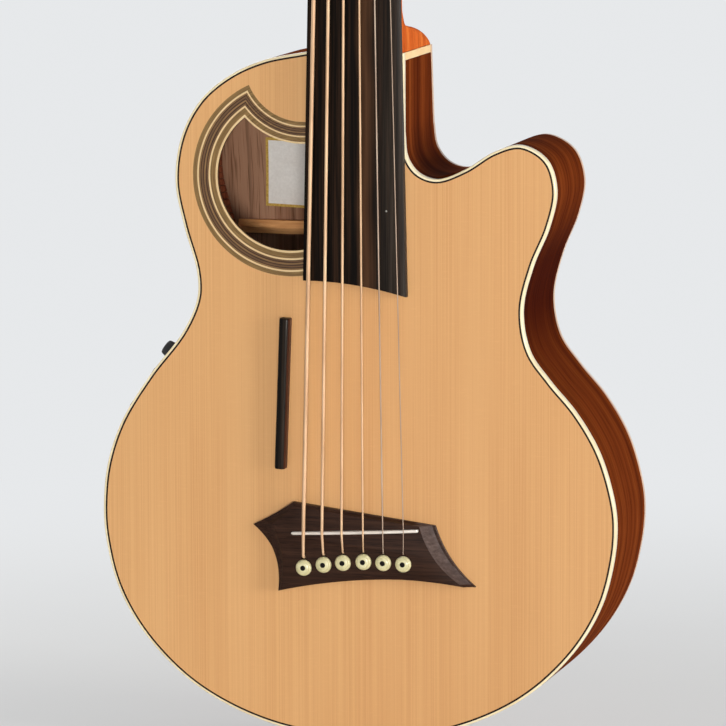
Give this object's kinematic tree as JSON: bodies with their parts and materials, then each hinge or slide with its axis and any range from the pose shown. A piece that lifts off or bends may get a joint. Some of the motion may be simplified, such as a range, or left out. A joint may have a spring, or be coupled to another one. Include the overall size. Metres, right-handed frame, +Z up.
{
  "type": "acoustic bass guitar",
  "caption": "Fretless acoustic bass guitar with a single cutaway, an offset scooped sound hole, a slanted pinned bridge, geared tuners and a side-mounted preamp.",
  "frame": {"origin": "behind the neck just past the nut, where a wall hanger's fork carries the headstock", "axes": "+X across the strings towards the thinnest, +Y from the face to the back, +Z up along the strings"},
  "size_m": [0.4251, 0.1331, 1.2502],
  "materials": {
    "spruce": "gloss lacquer over straight-grained spruce",
    "rosewood": "gloss lacquer over reddish-brown rosewood",
    "cream_plastic": "polished cream binding",
    "inlay_wood": "inlaid bands under lacquer",
    "lining_wood": "bare wood",
    "brace_wood": "bare spruce and maple",
    "mahogany": "gloss lacquer over orange-red mahogany",
    "ebony": "satin ebony",
    "dark_rosewood": "satin dark rosewood",
    "bone": "polished bone",
    "pin_plastic": "ivory-coloured plastic",
    "rod_steel": "plain steel",
    "string_bronze": "bronze winding",
    "chrome": "chrome plate",
    "black_plastic": "moulded black plastic"
  },
  "bodies": {
    "guitar": {"soundboard": "spruce", "rim": "rosewood", "back_panel": "rosewood", "top_binding": "cream_plastic", "back_binding": "cream_plastic", "heel_strip": "cream_plastic", "rosette": "inlay_wood", "top_lining": "lining_wood", "back_lining": "lining_wood", "x_brace": "brace_wood", "back_bracing": "brace_wood", "bridge_plate": "brace_wood", "neck": "mahogany", "neck_block": "mahogany", "tail_block": "mahogany", "fingerboard": "ebony", "thumb_rest": "ebony", "bridge": "dark_rosewood", "nut": "bone", "saddle": "bone", "bridge_pin_1": "pin_plastic", "bridge_pin_2": "pin_plastic", "bridge_pin_3": "pin_plastic", "bridge_pin_4": "pin_plastic", "bridge_pin_5": "pin_plastic", "bridge_pin_6": "pin_plastic", "truss_rod": "rod_steel", "undersaddle_pickup": "rod_steel", "string_1": "string_bronze", "string_2": "string_bronze", "string_3": "string_bronze", "string_4": "string_bronze", "string_5": "string_bronze", "string_6": "string_bronze", "tuner_housing_1": "chrome", "tuner_housing_2": "chrome", "tuner_housing_3": "chrome", "tuner_housing_4": "chrome", "tuner_housing_5": "chrome", "tuner_housing_6": "chrome", "end_pin_jack": "chrome", "strap_button": "chrome", "preamp_panel": "black_plastic"},
    "button_1": {"tuner_button_1": "chrome"},
    "post_1": {"string_post_1": "chrome"},
    "button_2": {"tuner_button_2": "chrome"},
    "post_2": {"string_post_2": "chrome"},
    "button_3": {"tuner_button_3": "chrome"},
    "post_3": {"string_post_3": "chrome"},
    "button_4": {"tuner_button_4": "chrome"},
    "post_4": {"string_post_4": "chrome"},
    "button_5": {"tuner_button_5": "chrome"},
    "post_5": {"string_post_5": "chrome"},
    "button_6": {"tuner_button_6": "chrome"},
    "post_6": {"string_post_6": "chrome"},
    "knob": {"volume_knob": "black_plastic"},
    "slider_1": {"slider_cap_1": "black_plastic"},
    "slider_2": {"slider_cap_2": "black_plastic"},
    "slider_3": {"slider_cap_3": "black_plastic"},
    "slider_4": {"slider_cap_4": "black_plastic"}
  },
  "joints": [
    {"name": "tuner_turn_1", "type": "hinge", "parent": "guitar", "child": "button_1", "pos_m": [-0.03, 0.01319, 0.03245], "axis": [1, 0, 0], "continuous": true},
    {"name": "post_turn_1", "type": "hinge", "parent": "guitar", "child": "post_1", "pos_m": [-0.03, -0.00708, 0.04505], "axis": [0, -0.9816, 0.1908], "continuous": true},
    {"name": "tuner_turn_2", "type": "hinge", "parent": "guitar", "child": "button_2", "pos_m": [-0.0315, 0.02235, 0.07956], "axis": [1, 0, 0], "continuous": true},
    {"name": "post_turn_2", "type": "hinge", "parent": "guitar", "child": "post_2", "pos_m": [-0.0315, 0.00208, 0.09216], "axis": [0, -0.9816, 0.1908], "continuous": true},
    {"name": "tuner_turn_3", "type": "hinge", "parent": "guitar", "child": "button_3", "pos_m": [-0.033, 0.03151, 0.12668], "axis": [1, 0, 0], "continuous": true},
    {"name": "post_turn_3", "type": "hinge", "parent": "guitar", "child": "post_3", "pos_m": [-0.033, 0.01124, 0.13928], "axis": [0, -0.9816, 0.1908], "continuous": true},
    {"name": "tuner_turn_4", "type": "hinge", "parent": "guitar", "child": "button_4", "pos_m": [0.033, 0.03151, 0.12668], "axis": [1, 0, 0], "continuous": true},
    {"name": "post_turn_4", "type": "hinge", "parent": "guitar", "child": "post_4", "pos_m": [0.033, 0.01124, 0.13928], "axis": [0, -0.9816, 0.1908], "continuous": true},
    {"name": "tuner_turn_5", "type": "hinge", "parent": "guitar", "child": "button_5", "pos_m": [0.0315, 0.02235, 0.07956], "axis": [1, 0, 0], "continuous": true},
    {"name": "post_turn_5", "type": "hinge", "parent": "guitar", "child": "post_5", "pos_m": [0.0315, 0.00208, 0.09216], "axis": [0, -0.9816, 0.1908], "continuous": true},
    {"name": "tuner_turn_6", "type": "hinge", "parent": "guitar", "child": "button_6", "pos_m": [0.03, 0.01319, 0.03245], "axis": [1, 0, 0], "continuous": true},
    {"name": "post_turn_6", "type": "hinge", "parent": "guitar", "child": "post_6", "pos_m": [0.03, -0.00708, 0.04505], "axis": [0, -0.9816, 0.1908], "continuous": true},
    {"name": "volume_turn", "type": "hinge", "parent": "guitar", "child": "knob", "pos_m": [-0.16294, 0.028, -0.74404], "axis": [-0.8263, 0, 0.5632], "range_deg": [-140, 140]},
    {"name": "slider_slide_1", "type": "slide", "parent": "guitar", "child": "slider_1", "axis": [0, 1, 0], "range_m": [-0.0085, 0.0085]},
    {"name": "slider_slide_2", "type": "slide", "parent": "guitar", "child": "slider_2", "axis": [0, 1, 0], "range_m": [-0.0085, 0.0085]},
    {"name": "slider_slide_3", "type": "slide", "parent": "guitar", "child": "slider_3", "axis": [0, 1, 0], "range_m": [-0.0085, 0.0085]},
    {"name": "slider_slide_4", "type": "slide", "parent": "guitar", "child": "slider_4", "axis": [0, 1, 0], "range_m": [-0.0085, 0.0085]}
  ],
  "couplings": [
    {"joint": "post_turn_1", "follows": "tuner_turn_1", "ratio": 0.05},
    {"joint": "post_turn_2", "follows": "tuner_turn_2", "ratio": 0.05},
    {"joint": "post_turn_3", "follows": "tuner_turn_3", "ratio": 0.05},
    {"joint": "post_turn_4", "follows": "tuner_turn_4", "ratio": 0.05},
    {"joint": "post_turn_5", "follows": "tuner_turn_5", "ratio": 0.05},
    {"joint": "post_turn_6", "follows": "tuner_turn_6", "ratio": 0.05}
  ]
}
